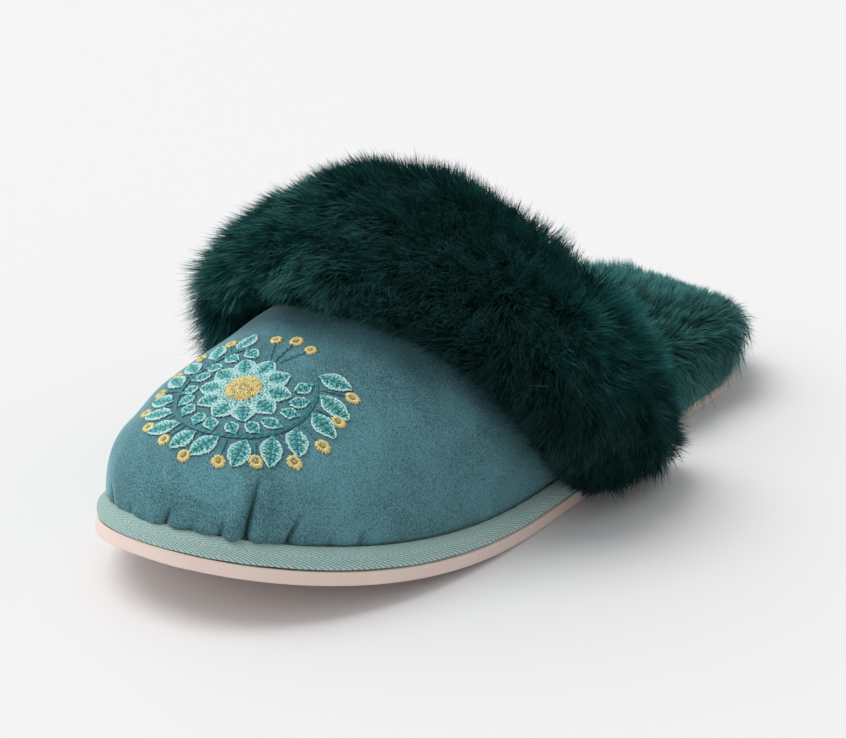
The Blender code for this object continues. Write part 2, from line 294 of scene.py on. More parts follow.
class Finish:
    """One material: a Principled shader with fixed values, and the nodes that vary it."""

    def __init__(self, name, **fixed):
        self.material = bpy.data.materials.new(name)
        self.material.use_nodes = True
        self.tree = self.material.node_tree
        self.shader = self.tree.nodes["Principled BSDF"]
        for key, value in fixed.items():
            plug(self.tree, self.shader.inputs[key.replace("_", " ")], value)

    def node(self, kind, options=None, values=None, out=0):
        """Add a node, set its options, then its sockets, and give one of its outputs."""
        node = self.tree.nodes.new(kind)
        for key, value in (options or {}).items():
            setattr(node, key, value)
        for key, value in (values or {}).items():
            plug(self.tree, node.inputs[key], value)
        return Term(self.tree, node.outputs[out])

    def place(self):
        """Object coordinates, in metres."""
        return self.node("ShaderNodeTexCoord", out="Object")

    def parts(self, vector):
        """A vector's three numbers."""
        first = self.node("ShaderNodeSeparateXYZ", None, {"Vector": vector})
        return [Term(self.tree, socket) for socket in first.socket.node.outputs]

    def noise(self, at, per_metre, detail=2.0, roughness=0.5, distortion=0.0):
        """Noise from 0 to 1."""
        return self.node("ShaderNodeTexNoise", None, {
            "Vector": at, "Scale": per_metre, "Detail": detail, "Roughness": roughness,
            "Distortion": distortion})

    def mix(self, factor, low, high, blend="MIX"):
        """A colour between two."""
        node = self.tree.nodes.new("ShaderNodeMix")
        node.data_type, node.blend_type = "RGBA", blend
        for socket, value in zip((node.inputs[0], node.inputs[6], node.inputs[7]), (factor, low, high)):
            plug(self.tree, socket, value)
        return Term(self.tree, node.outputs[2])

    def shades(self, factor, colour, low, high):
        """A colour between two shades of one."""
        return self.mix(factor, times(colour, low), times(colour, high))

    def smooth(self, value, low, high):
        """0 below low, 1 above high and eased between."""
        return self.node("ShaderNodeMapRange", {"interpolation_type": "SMOOTHSTEP"}, {
            "Value": value, "From Min": low, "From Max": high})

    def colour(self, term):
        """Vary the colour."""
        plug(self.tree, self.shader.inputs["Base Color"], term)

    def roughness(self, term):
        """Vary the roughness."""
        plug(self.tree, self.shader.inputs["Roughness"], term)

    def bump(self, height, depth, strength=1.0):
        """Raise the surface by height times depth, in metres."""
        values = {"Height": height, "Distance": depth, "Strength": strength}
        bump = self.node("ShaderNodeBump", None, values)
        plug(self.tree, self.shader.inputs["Normal"], bump)


def times(colour, factor):
    """A colour made lighter or darker."""
    return tuple(min(part * factor, 1.0) for part in colour)


def velvet_finish(colour):
    """Short dense pile: a fine grain, brushed patches, a painted highlight that makes the inner side paler,
    and a pale sheen at grazing angles. The crease attribute darkens the puckers and the hem at the seam with
    painted shade, where the pile shades itself."""
    finish = Finish("velvet", Roughness=0.80, Sheen_Weight=1.0, Sheen_Roughness=0.26,
                    Sheen_Tint=(0.62, 0.91, 0.96), Specular_IOR_Level=0.12)
    at = finish.place()
    grain = finish.noise(at, 2700.0, detail=2.0, roughness=0.8)
    brushed = finish.noise(at, 60.0, detail=4.0, roughness=0.6, distortion=0.8)
    shade = (grain - 0.5) * 2.6 + (brushed - 0.5) * 1.0 + 0.5
    pile = finish.shades(shade.held(), colour, 0.40, 1.80)
    # Painted highlight: the pile is paler towards the inner side, standing in for the sheen there
    aside, _, _ = finish.parts(at)
    pile = finish.mix(finish.smooth(-aside, 0.014, 0.044) * 0.42, pile, times(colour, 3.2))
    # Painted shade: the crease attribute darkens the puckers and the hem at the seam
    crease = finish.node("ShaderNodeAttribute", {"attribute_name": "crease"}, out="Fac")
    finish.colour(finish.mix(crease * 0.92, pile, times(colour, 0.06)))
    finish.roughness(0.74 + brushed * 0.16)
    finish.bump(grain + brushed * 0.5, 0.00024, 0.55)
    return finish.material


def plush_finish(colour):
    """The vamp's lining: short, dull, curly pile."""
    finish = Finish("lining", Roughness=0.95, Sheen_Weight=0.35, Sheen_Roughness=0.5,
                    Sheen_Tint=(0.30, 0.60, 0.58), Specular_IOR_Level=0.1)
    at = finish.place()
    curl = finish.noise(at, 620.0, detail=3.0, roughness=0.6, distortion=1.2)
    finish.colour(finish.shades(curl, colour, 0.35, 1.5))
    finish.bump(curl, 0.0009, 0.8)
    return finish.material


def skin_finish(colour):
    """What shows between the hairs: a backing in the roots' dark painted shade, with a woolly grain."""
    finish = Finish("fur backing", Roughness=1.0, Specular_IOR_Level=0.05)
    at = finish.place()
    wool = finish.noise(at, 420.0, detail=2.0, distortion=1.0)
    finish.colour(finish.shades(wool, colour, 0.6, 1.5))
    finish.bump(wool, 0.0008, 0.7)
    return finish.material


def hair_finish(name, root, middle, tip):
    """A hair: dark at its root as painted shade and lighter to its tip as painted sheen. The map's u is the
    hair's shade, with the painted light and shade of where it grows, and v its length.
    """
    finish = Finish(name, Roughness=0.40, Sheen_Weight=0.17, Sheen_Roughness=0.45,
                    Sheen_Tint=(0.15, 0.80, 0.74), Specular_IOR_Level=0.20, Specular_Tint=(0.50, 1.0, 0.96))
    shade, along, _ = finish.parts(finish.node("ShaderNodeUVMap", {"uv_map": "OFBake"}))
    # Painted shade towards the root and painted sheen towards the tip
    lower = finish.mix(finish.smooth(along, 0.1, 0.6), root, middle)
    whole = finish.mix(finish.smooth(along, 0.5, 0.95), lower, tip)
    dark = finish.mix(1.0, whole, (0.06, 0.07, 0.08), "MULTIPLY")
    finish.colour(finish.mix(shade, dark, whole))
    return finish.material


def tape_finish(ground, rib):
    """Herringbone tape: ribs that lean to a spine along its middle, with flecks of metal thread."""
    finish = Finish("herringbone tape", Roughness=0.82, Sheen_Weight=0.35, Sheen_Roughness=0.5,
                    Sheen_Tint=(0.85, 1.0, 0.97), Specular_IOR_Level=0.2)
    tape_map = finish.node("ShaderNodeUVMap", {"uv_map": "Tape"})
    along, across, _ = finish.parts(tape_map)
    lean = abs(across - TAPE_SPINE)
    wobble = finish.noise(tape_map, 300.0, detail=2.0) * 0.0006
    rib_phase = ((lean * 2.5 - along + wobble) / rib).share()
    rib_height = finish.smooth(abs(rib_phase - 0.5), 0.50, 0.08)
    stitch_phase = ((along + lean * 0.5 + wobble * 0.5) / TAPE_STITCH).share()
    stitch = finish.smooth(abs(stitch_phase - 0.5), 0.5, 0.1)
    fuzz = finish.noise(tape_map, 2100.0, detail=2.0, roughness=0.85)
    weave = rib_height * (0.45 + stitch * 0.55)
    shade = weave * 0.75 + fuzz * 0.60 - 0.18
    yarn = finish.shades(shade.held(), ground, 0.46, 1.50)
    cell = finish.node("ShaderNodeTexVoronoi", None, {"Vector": tape_map, "Scale": 2300.0}, out="Color")
    pick = finish.node("ShaderNodeSeparateColor", None, {"Color": cell})
    fleck = (pick > 0.95) * rib_height
    finish.colour(finish.mix(fleck.held() * 0.8, yarn, FLECK))
    finish.roughness(0.82 - fleck * 0.40)
    finish.bump(weave + fuzz * 0.30, 0.00034, 0.85)
    return finish.material


def rubber_finish(colour):
    """Moulded sole: satin sides, and a fine ribbed tread on what faces the floor."""
    finish = Finish("blush rubber", Roughness=0.48, Specular_IOR_Level=0.42)
    at = finish.place()
    cloud = finish.noise(at, 60.0, detail=3.0)
    grain = finish.noise(at, 2200.0, detail=1.0)
    _, _, up = finish.parts(finish.node("ShaderNodeNewGeometry", out="Normal"))
    under = finish.smooth(up, -0.6, -0.9)
    aside, length, _ = finish.parts(at)
    wave = aside.calc("SINE", aside * 420.0) * 0.0022
    groove = finish.smooth(abs(((length + wave) / TREAD_RIB).share() - 0.5), 0.10, 0.17)
    # What faces the floor is darker, except in the tread's grooves
    darker_below = under * (1.0 - groove)
    base = finish.shades(cloud, colour, 0.93, 1.04)
    finish.colour(finish.mix(darker_below * 0.55, base, times(colour, 0.55)))
    finish.roughness(0.44 + cloud * 0.14)
    finish.bump(under * groove * 6.0 + grain * 0.15, 0.00018, 0.8)
    return finish.material


def foam_finish(colour):
    """Foam board: a closed-cell grain."""
    finish = Finish("foam", Roughness=0.9, Specular_IOR_Level=0.2)
    at = finish.place()
    cells = finish.node("ShaderNodeTexVoronoi", None, {"Vector": at, "Scale": 1500.0})
    finish.colour(finish.shades(cells, colour, 0.85, 1.1))
    finish.bump(cells, 0.00012, 0.6)
    return finish.material


def thread_finish(name, colour, metal=0.0, roughness=0.38):
    """Glossy sewing thread with a fine twist in its tone."""
    finish = Finish(name, Roughness=roughness, Metallic=metal, Specular_IOR_Level=0.5, Sheen_Weight=0.15)
    at = finish.place()
    twist = finish.noise(at, 1300.0, detail=2.0, roughness=0.7)
    finish.colour(finish.shades(twist, colour, 0.62, 1.25))
    return finish.material


def floor_finish():
    """Plain pale studio floor."""
    finish = Finish("studio floor", Roughness=0.9, Specular_IOR_Level=0.1)
    at = finish.place()
    cloud = finish.noise(at, 1.2, detail=1.0)
    finish.colour(finish.mix(cloud, *FLOOR_SHADES))
    return finish.material


# Meshes


def settings():
    """The scene's sizes and colours."""
    return bpy.context.scene.slipper_sizes, bpy.context.scene.slipper_colours


def only(piece):
    """Make one object the selected and active one."""
    bpy.ops.object.select_all(action="DESELECT")
    piece.select_set(True)
    bpy.context.view_layer.objects.active = piece


def apply_all(piece):
    """Apply a piece's modifiers, from the first to the last."""
    only(piece)
    for modifier in list(piece.modifiers):
        bpy.ops.object.modifier_apply(modifier=modifier.name)


def rounded(piece, levels):
    """Round a piece off with a subdivision surface."""
    rounding = piece.modifiers.new("round", "SUBSURF")
    rounding.levels = rounding.render_levels = levels
    apply_all(piece)


def soften(piece, rounds):
    """Give a piece a smoothing modifier of so many rounds."""
    softening = piece.modifiers.new("soften", "SMOOTH")
    softening.factor, softening.iterations = 0.5, rounds


def copy_of(node, name):
    """A piece of its own from a CAD node's mesh, with its points joined and its faces made quads."""
    mesh = frame["nodes"][node].data.copy()
    mesh.name = name
    mesh.materials.clear()
    piece = bpy.data.objects.new(name, mesh)
    bpy.context.scene.collection.objects.link(piece)
    only(piece)
    bpy.ops.object.mode_set(mode="EDIT")
    bpy.ops.mesh.select_all(action="SELECT")
    bpy.ops.mesh.remove_doubles(threshold=0.00002)
    bpy.ops.mesh.tris_convert_to_quads(face_threshold=math.radians(60), shape_threshold=math.radians(60))
    bpy.ops.object.mode_set(mode="OBJECT")
    return piece


def read(items, name):
    """One whole number for each of a mesh's items, such as its loops."""
    found = np.empty(len(items), np.int32)
    items.foreach_get(name, found)
    return found


def read_rows(items, name, kind=np.float32):
    """Three numbers for each of a mesh's items."""
    found = np.empty(len(items) * 3, kind)
    items.foreach_get(name, found)
    return found.reshape(-1, 3)


def points_of(mesh):
    """A mesh's points."""
    return read_rows(mesh.vertices, "co").astype(float)


def normals_of(mesh):
    """The directions that a mesh's points face."""
    return read_rows(mesh.vertex_normals, "vector").astype(float)


def move_points(mesh, points):
    """Put a mesh's points somewhere else."""
    mesh.vertices.foreach_set("co", points.astype(np.float32).ravel())
    mesh.update()


def tree_of(*pieces):
    """Something to cast rays at."""
    points, faces = [], []
    for piece in pieces:
        start = len(points)
        points += [point.co.copy() for point in piece.data.vertices]
        faces += [[start + corner for corner in face.vertices] for face in piece.data.polygons]
    return BVHTree.FromPolygons(points, faces)


def unit(vectors):
    """Vectors of length 1."""
    return vectors / np.maximum(np.linalg.norm(vectors, axis=-1, keepdims=True), 1e-9)


def finished(piece, slot, *nodes):
    """Hang a piece on the frame and hide the CAD nodes that it stands in for."""
    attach(piece, "root")
    if nodes:
        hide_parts(*nodes)
    return piece


def ramp(value, start=0, span=1):
    """0 up to start, rising to 1 over a span, and 1 beyond."""
    return np.clip((value - start) / span, 0, 1)


def lowest_in(bins, heights, count):
    """The lowest height in each bin, and which bins hold any."""
    found = np.array([heights[bins == k].min() if (bins == k).any() else np.nan for k in range(count)])
    return found, ~np.isnan(found)


def mesh_piece(name, points, faces, sizes, material):
    """A mesh object from arrays: points, the corners of all faces in a row, and how many each face has."""
    mesh = bpy.data.meshes.new(name)
    mesh.vertices.add(len(points))
    mesh.vertices.foreach_set("co", np.asarray(points, np.float32).ravel())
    mesh.loops.add(len(faces))
    mesh.loops.foreach_set("vertex_index", np.asarray(faces, np.int32))
    mesh.polygons.add(len(sizes))
    starts = np.concatenate(([0], np.cumsum(sizes)[:-1])).astype(np.int32)
    mesh.polygons.foreach_set("loop_start", starts)
    mesh.materials.append(material)
    mesh.update(calc_edges=True)
    mesh.validate()
    piece = bpy.data.objects.new(name, mesh)
    bpy.context.scene.collection.objects.link(piece)
    mesh.shade_smooth()
    return piece


# Fur


def fur_roots(skin, count, wanted, dice):
    """Random places on a skin, as points and the directions they face. wanted weighs each triangle."""
    mesh = skin.data
    mesh.calc_loop_triangles()
    corners = read_rows(mesh.loop_triangles, "vertices", np.int32)
    points, facing = points_of(mesh), normals_of(mesh)
    a, b, c = (points[corners[:, k]] for k in range(3))
    across = np.cross(b - a, c - a)
    weight = np.linalg.norm(across, axis=1) * wanted((a + b + c) / 3, unit(across))
    chosen = dice.choice(len(corners), count, p=weight / weight.sum())
    first, second = dice.random(count), dice.random(count)
    over = first + second > 1
    first[over], second[over] = 1 - first[over], 1 - second[over]
    shares = np.stack([1 - first - second, first, second], 1)[:, :, None]
    at = (points[corners[chosen]] * shares).sum(1)
    return at, unit((facing[corners[chosen]] * shares).sum(1))


def swell(at, wavelength, seed):
    """Slow waves over space, from -1 to 1."""
    dice = np.random.default_rng(seed)
    total = np.zeros(len(at))
    for _ in range(5):
        way = unit(dice.normal(size=3))
        phase = at @ way * 2 * math.pi / (wavelength * dice.uniform(0.7, 1.4))
        total += np.sin(phase + dice.uniform(0, 6.3))
    return total / 3


def comb(at, facing, nap, length, low, high, dice, seed, wild=1.0):
    """The three points of each hair, and a shade for each. Hairs stand low from the surface's direction
    at the root and high at the tip, in radians; they lean along the nap, more or less wild, and gather
    into tufts."""
    leaders = dice.choice(len(at), max(int(len(at) * LEADERS), 8), replace=False)
    tree = KDTree(len(leaders))
    for number, leader in enumerate(leaders):
        tree.insert(at[leader], number)
    tree.balance()
    own = np.array([tree.find(point)[1] for point in at])
    swirl = dice.normal(0, 0.20 * wild, len(leaders))[own] + dice.normal(0, 0.30, len(at))
    swirl += 0.40 * wild * swell(at, 0.026, seed)
    along = unit(nap - (nap * facing).sum(1, keepdims=True) * facing)
    beside = np.cross(facing, along)
    along = along * np.cos(swirl)[:, None] + beside * np.sin(swirl)[:, None]
    stand = dice.normal(0, 0.10 * wild**2, len(leaders))[own] + dice.normal(0, 0.18, len(at))
    stand += 0.14 * wild * swell(at, 0.014, seed + 9)
    low, high = (low + stand)[:, None], (high + stand)[:, None]
    start = facing * np.cos(low) + along * np.sin(low)
    end = facing * np.cos(high) + along * np.sin(high)
    reach = length * dice.uniform(0.74, 1.08, len(at)) * dice.uniform(0.88, 1.08, len(leaders))[own]
    steps = STEPS[None, :, None]
    shape = reach[:, None, None] * (start[:, None] * steps + (end - start)[:, None] * steps**2 / 2)
    paths = at[:, None] + shape
    paths = paths + (paths[leaders[own]] - paths) * PULL * steps**1.5
    paths[:, 2:] += dice.normal(0, TIP_SCATTER, (len(at), 1, 3))
    shade = 0.16 + 0.34 * dice.beta(2.0, 2.0, len(at)) + 0.38 * dice.random(len(leaders))[own]
    return paths, np.clip(shade + 0.10 * swell(at, 0.018, seed + 5), *SHADES)


def hairs(name, paths, shade, facing, width, material, dice):
    """One piece of flat tapered hairs, from each hair's three points."""
    count = len(paths)
    ways = unit(np.gradient(paths, axis=1))
    flat = unit(np.cross(ways, facing[:, None]))
    edge = unit(np.cross(flat, ways))
    roll = dice.normal(0, 0.5, count)[:, None, None]
    side = flat * np.cos(roll) + edge * np.sin(roll)
    front = np.cross(side, ways)
    turned = np.where((front[:, 1] * facing).sum(1) < 0, -1.0, 1.0)[:, None, None]
    side, front = side * turned, front * turned
    widths = width * dice.uniform(0.75, 1.15, count)[:, None, None] * TAPER[None, :, None] / 2
    left = paths[:, :2] - side[:, :2] * widths
    right = paths[:, :2] + side[:, :2] * widths
    points = np.concatenate([left, right, paths[:, 2:]], 1).reshape(-1, 3)
    points[:, 2] = np.maximum(points[:, 2], LOWEST_HAIR)
    corner = np.array([0, 2, 3, 1, 1, 3, 4])
    faces = (np.arange(count)[:, None] * 5 + corner[None]).ravel()
    sizes = np.tile([4, 3], count)
    piece = mesh_piece(name, points, faces, sizes, material)
    out = front * (1 - OUTWARD) + facing[:, None] * OUTWARD
    turn = side[:, :2] * ROUND
    shading = np.concatenate([out[:, :2] - turn, out[:, :2] + turn, out[:, 2:]], 1)
    piece.data.normals_split_custom_set_from_vertices(unit(shading).reshape(-1, 3).tolist())
    offset = np.array([-0.02, 0.02, 0.02, -0.02, -0.02, 0.02, 0.0])[None]
    along = np.array([0.01, 0.01, 0.5, 0.5, 0.5, 0.5, 0.99])[None]
    layer = piece.data.uv_layers.new(name="OFBake")
    both = np.stack([shade[:, None] + offset, np.broadcast_to(along, (count, 7))], 2)
    layer.uv.foreach_set("vector", both.astype(np.float32).ravel())
    return piece


def grow(name, slot, tones, paths, shade, facing, dice):
    """A finished piece of hairs. The tones say how pale they are at root, middle and tip."""
    sizes, colours = settings()
    tints = zip((colours.fur_root_shade, colours.fur, colours.fur_tip_sheen), tones)
    material = hair_finish(name.replace("_", " "), *(times(colour, tone) for colour, tone in tints))
    finished(hairs(name, paths, shade, facing, sizes.hair_width, material, dice), slot)


def smooth_skin(node, name, voxel, rounds, pile, beside):
    """A soft backing for fur: the CAD solid with its coarse locks smoothed away. The pile's depth is
    taken off too, but not where the piece lies against what is beside it."""
    skin = copy_of(node, name)
    remesh = skin.modifiers.new("even", "REMESH")
    remesh.mode, remesh.voxel_size = "VOXEL", voxel
    soften(skin, rounds)
    apply_all(skin)
    skin = largest_part(skin)
    points, facing = points_of(skin.data), normals_of(skin.data)
    free = ramp(distances(beside, points), 0.0015, 0.0060)
    move_points(skin.data, points - facing * (pile(points) * free)[:, None])
    soften(skin, 3)
    apply_all(skin)
    skin.data.materials.clear()
    skin.data.shade_smooth()
    return skin


def largest_part(piece):
    """Drop the loose specks that a remesh leaves."""
    name = piece.name
    only(piece)
    bpy.ops.mesh.separate(type="LOOSE")
    parts = sorted(bpy.context.selected_objects, key=lambda part: len(part.data.vertices))
    for speck in parts[:-1]:
        bpy.data.objects.remove(speck)
    parts[-1].name = parts[-1].data.name = name
    return parts[-1]


def distances(tree, points):
    """How far each point is from a surface."""
    return np.array([tree.find_nearest(Vector(point))[3] for point in points])


def open_air(tree, reach):
    """Weights for triangles: 0 where something lies within reach in front of them, and else 1."""
    def weight(at, facing):
        """A weight for each place, in the direction that it faces."""
        return np.array([
            0.0 if tree.ray_cast(Vector(point + way * 0.0002), Vector(way), reach)[0] else 1.0
            for point, way in zip(at, facing)])
    return weight


def lift_out(paths, tree, gap):
    """Push hairs that dip under a surface back over it."""
    for hair in paths:
        for step in (1, 2):
            near, facing, _, far = tree.find_nearest(Vector(hair[step]), LIFT_REACH)
            if near is None:
                continue
            height = (Vector(hair[step]) - near).dot(facing)
            if height < gap * step:
                hair[step] += np.array(facing) * (gap * step - height)
    return paths


# Thread work


def heading(turn):
    """A step of 1 on the sprig's plane, turned from its right, in radians."""
    return np.array([math.cos(turn), math.sin(turn)])


def spoke(degrees, far):
    """A place on the sprig's plane: so far from its middle, and so far round from its top."""
    return np.array([math.sin(math.radians(degrees)), math.cos(math.radians(degrees))]) * far


class Stitches:
    """Sewn threads on the vamp, gathered by colour. Places are in millimetres on the sprig's plane."""

    def __init__(self, surface, width, seed):
        self.surface, self.width = surface, width
        self.dice = np.random.default_rng(seed)
        self.runs = {}
        self.side = Vector((1, 0, 0))
        self.ahead = Vector((0, math.cos(SPRIG_TILT), math.sin(SPRIG_TILT)))
        self.out = Vector((0, -math.sin(SPRIG_TILT), math.cos(SPRIG_TILT)))

    def on_vamp(self, x, y):
        """The point of the vamp under a place on the plane, and the direction it faces."""
        above = Vector(SPRIG_AT) + self.side * x / 1000 + self.ahead * y / 1000 + self.out * ABOVE
        at, facing, _, _ = self.surface.ray_cast(above, -self.out, BELOW)
        if at is None:
            raise RuntimeError(f"the thread at {x:.1f}, {y:.1f} misses the vamp")
        return np.array(at), np.array(facing)

    def sew(self, colour, start, end, lift=0.00035, wide=1.0):
        """One thread from start to end, arched over the pile."""
        start, end = np.array(start, float), np.array(end, float)
        steps = len(THREAD_TAPER)
        line = [start + (end - start) * k / (steps - 1) for k in range(steps)]
        found = [self.on_vamp(*place) for place in line]
        at = np.array([place for place, _ in found])
        facing = np.array([way for _, way in found])
        arch = np.sin(np.linspace(0, math.pi, steps)) ** 0.7
        at = at + facing * (CLEAR + lift * arch)[:, None]
        way = unit(np.gradient(at, axis=0))
        beside = unit(np.cross(way, facing))
        half = self.width * wide * self.dice.uniform(0.85, 1.1) / 2 * THREAD_TAPER
        left, right = at - beside * half[:, None], at + beside * half[:, None]
        crest = at + facing * (half * 1.15)[:, None]
        self.runs.setdefault(colour, []).append(np.stack([left, crest, right], 1))

    def jitter(self, amount):
        """A small step to anywhere."""
        return self.dice.uniform(-amount, amount, 2)

    def leaf(self, base, tip, width, inner, outer, rim, vein=None):
        """Satin stitches in two lengths that slant from a middle line to both edges, in a rim."""
        base, tip = np.array(base, float), np.array(tip, float)
        way = tip - base
        length = np.linalg.norm(way)
        way = way / length
        across = np.array([-way[1], way[0]])
        count = int(length / STITCH)
        edges = {1: [], -1: []}
        for k in range(count + 1):
            t = k / count
            half = width / 2 * math.sin(math.pi * min(max(t, 0.02), 0.98) ** 0.82) ** 0.75
            middle = base + way * length * t
            forward = 0.9 * (1 - t)
            for side in (1, -1):
                edge = middle + across * side * half + way * forward + self.jitter(0.14)
                edges[side].append(edge)
                split = middle + (edge - middle) * self.dice.uniform(0.35, 0.7)
                self.sew(inner[k % len(inner)], middle + self.jitter(0.12), split + (edge - middle) * 0.08)
                self.sew(outer[k % len(outer)], split, edge)
        for side in (1, -1):
            path = edges[side]
            for k in range(0, len(path) - 2, 2):
                far = min(k + 3, len(path) - 1)
                self.sew(rim, path[k] + self.jitter(0.10), path[far] + self.jitter(0.10), lift=0.00042)
        if vein:
            self.stem([base, tip - way * length * 0.18], vein, rows=1)

    def one_of(self, colours):
        """A colour by chance from a list."""
        return colours[int(self.dice.integers(len(colours)))]

    def stem(self, path, colour, rows=2):
        """Short overlapping stitches along a smooth path."""
        path = np.array(path, float)
        run = np.concatenate([[0], np.cumsum(np.linalg.norm(np.diff(path, axis=0), axis=1))])
        dense = np.linspace(0, run[-1], max(int(run[-1] / 0.4), 4))
        if len(path) > 2:
            tangents = np.gradient(path, run, axis=0)
            places = []
            for at in dense:
                k = min(int(np.searchsorted(run, at, "right")) - 1, len(run) - 2)
                span = run[k + 1] - run[k]
                t = (at - run[k]) / span
                places.append(
                    (2 * t**3 - 3 * t**2 + 1) * path[k] + (t**3 - 2 * t**2 + t) * span * tangents[k]
                    + (3 * t**2 - 2 * t**3) * path[k + 1] + (t**3 - t**2) * span * tangents[k + 1])
            places = np.array(places)
        else:
            places = path[0] + (path[1] - path[0]) * (dense / run[-1])[:, None]
        way = unit(np.gradient(places, axis=0))
        beside = np.stack([-way[:, 1], way[:, 0]], 1)
        for row in range(rows):
            shift = (row - (rows - 1) / 2) * STITCH
            for k in range(0, len(places) - 5, 4):
                far = min(k + 6, len(places) - 1)
                start = places[k] + beside[k] * (shift - 0.10)
                end = places[far] + beside[far] * (shift + 0.10)
                self.sew(colour, start + self.jitter(0.06), end + self.jitter(0.06))

    def knots(self, centre, radius, colours, count):
        """A padded disc of short crossing stitches."""
        for k in range(count):
            out = radius * math.sqrt((k + 0.5) / count)
            at = np.array(centre) + out * heading(k * GOLDEN_TURN)
            way = self.dice.uniform(0, math.pi)
            half = self.dice.uniform(0.5, 0.9) * heading(way)
            dome = 0.00045 * (1 - (out / radius) ** 2)
            self.sew(self.one_of(colours), at - half, at + half, lift=0.00055 + dome)

    def berry(self, centre, radius, skin, heart):
        """A round of short spokes over a small padded middle."""
        centre = np.array(centre, float)
        spokes = int(2 * math.pi * radius / STITCH)
        for k in range(spokes):
            turn = 2 * math.pi * k / spokes
            start = centre + heading(turn - 0.15) * radius * self.dice.uniform(0.20, 0.40)
            end = centre + heading(turn + 0.25) * radius * 0.94 + self.jitter(0.12)
            self.sew(skin, start, end, lift=0.00040, wide=0.85)
        for k in range(3):
            way = heading(math.pi * k / 3 + 0.3) * radius * 0.34
            self.sew(heart, centre - way, centre + way, lift=0.00062, wide=0.8)

    def piece(self, name, colour, material):
        """All threads of one colour as one mesh."""
        runs = np.array(self.runs[colour])
        count, steps = runs.shape[0], runs.shape[1]
        corners = []
        for step in range(steps - 1):
            for column in (0, 1):
                near = step * 3 + column
                corners += [near, near + 1, near + 4, near + 3]
        corner = np.array(corners)
        faces = (np.arange(count)[:, None] * steps * 3 + corner[None]).ravel()
        sizes = np.full(count * (steps - 1) * 2, 4)
        return mesh_piece(name, runs.reshape(-1, 3), faces, sizes, material)


# Operators


class SLIPPER_OT_sole(bpy.types.Operator):
    """Finish the moulded outsole and the foam midsole"""

    bl_idname = "slipper.sole"
    bl_label = "Sole"

    def execute(self, context):
        _, colours = settings()
        sole = copy_of("outsole", "moulded_sole")
        rounded(sole, 2)
        sole.data.materials.append(rubber_finish(colours.sole))
        sole.data.shade_smooth()
        finished(sole, "outsole", "outsole")
        board = frame["nodes"]["midsole"]
        board.data.materials.clear()
        board.data.materials.append(foam_finish(colours.tape))
        return {"FINISHED"}


class SLIPPER_OT_tape(bpy.types.Operator):
    """Wind the herringbone tape round the platform's edge"""

    bl_idname = "slipper.tape"
    bl_label = "Woven tape"

    def execute(self, context):
        sizes, colours = settings()
        tape = copy_of("binding", "woven_tape")
        rounded(tape, 2)
        mesh = tape.data
        points = points_of(mesh)
        ring = points[convex_hull_2d([Vector(point[:2]) for point in points])][:, :2]
        ring = np.vstack([ring, ring[:1]])
        way = np.diff(ring, axis=0)
        span = np.linalg.norm(way, axis=1)
        run = np.concatenate([[0], np.cumsum(span)])
        along, inset = np.empty(len(points)), np.empty(len(points))
        for number, point in enumerate(points[:, :2]):
            share = ramp(((point - ring[:-1]) * way).sum(1) / np.maximum(span**2, 1e-12))
            near = ring[:-1] + way * share[:, None]
            far = np.linalg.norm(point - near, axis=1)
            best = int(far.argmin())
            along[number], inset[number] = run[best] + share[best] * span[best], far[best]
        bins = (along / run[-1] * TAPE_BINS).astype(int) % TAPE_BINS
        lowest, known = lowest_in(bins, points[:, 2], TAPE_BINS)
        middles = (np.arange(TAPE_BINS) + 0.5) / TAPE_BINS * run[-1]
        floor = np.interp(along, middles[known], lowest[known], period=run[-1])
        up = points[:, 2] - floor + inset
        lip = np.exp(-(points[:, 2] - floor) / LIP_FADE)
        points[:, 2] -= LIP_DOWN * lip
        points[:, :2] += unit(normals_of(mesh)[:, :2]) * (LIP_OUT * lip * (inset < LIP_SIDE))[:, None]
        move_points(mesh, points)
        corners = read(mesh.loops, "vertex_index")
        flat = np.stack([along[corners], up[corners]], 1)
        starts = read(mesh.polygons, "loop_start")
        owner = np.repeat(np.arange(len(starts)), read(mesh.polygons, "loop_total"))
        most = np.maximum.reduceat(flat[:, 0], starts)[owner]
        flat[:, 0] += np.where(most - flat[:, 0] > run[-1] / 2, run[-1], 0)
        layer = mesh.uv_layers.new(name="Tape")
        layer.uv.foreach_set("vector", flat.astype(np.float32).ravel())
        mesh.materials.append(tape_finish(colours.tape, sizes.rib))
        mesh.shade_smooth()
        finished(tape, "binding", "binding")
        return {"FINISHED"}


